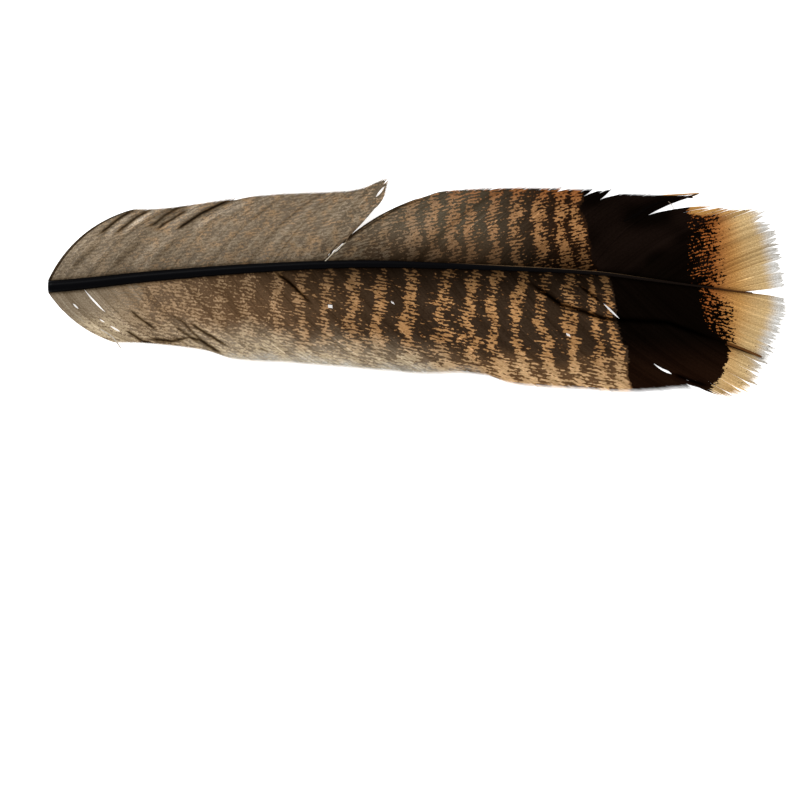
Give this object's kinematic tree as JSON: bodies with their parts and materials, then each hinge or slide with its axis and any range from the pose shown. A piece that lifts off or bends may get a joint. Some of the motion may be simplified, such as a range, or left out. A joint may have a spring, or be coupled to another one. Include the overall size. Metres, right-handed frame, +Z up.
{
  "type": "turkey tail feather",
  "caption": "Loose barred tail feather lying flat: a dark tapering shaft between a narrow and a wide vane, with a dark band and a pale fringed tip.",
  "frame": {"origin": "under the middle of the feather's box, on the surface that it lies on", "axes": "+X along the feather from its cut end to its tip, +Y towards the narrow outer vane, +Z up, out of the feather's upper side"},
  "size_m": [0.2814, 0.0828, 0.009],
  "materials": {
    "shaft_horn": "nearly black polished horn, a little paler and duller underneath",
    "vane_barbs": "fine soft barbs, grey-brown mottling turning into tan bars on dark brown, then a near-black band and a golden tip with a pale fringe"
  },
  "bodies": {
    "root": {"shaft": "shaft_horn", "outer_vane": "vane_barbs", "inner_vane": "vane_barbs"}
  },
  "joints": []
}
